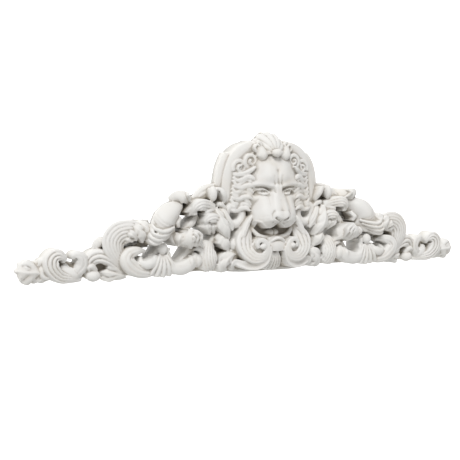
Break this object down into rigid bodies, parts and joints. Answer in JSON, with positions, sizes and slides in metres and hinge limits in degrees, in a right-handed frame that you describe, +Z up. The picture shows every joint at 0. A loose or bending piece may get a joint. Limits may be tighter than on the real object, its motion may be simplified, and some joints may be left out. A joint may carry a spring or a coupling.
{
  "type": "sculptural wall pediment",
  "caption": "Pierced wall pediment with a lion mask under a shell-crowned arch, scrolls and acanthus leaves that taper to both ends, cast in one piece with a flat back.",
  "frame": {"origin": "on the flat back, in the mirror plane, 120 mm above the foot line, behind the lion mask, where the casting is fixed to the wall", "axes": "+X along the length, -Y the way the carving faces, +Z up; the back lies in the plane Y = 0"},
  "size_m": [1.04, 0.0953, 0.2864],
  "materials": {
    "cast_resin": "matte off-white cast resin with stone filler, with a faint grey-green tint left in the recesses"
  },
  "bodies": {
    "root": {"pediment": "cast_resin"}
  },
  "joints": []
}
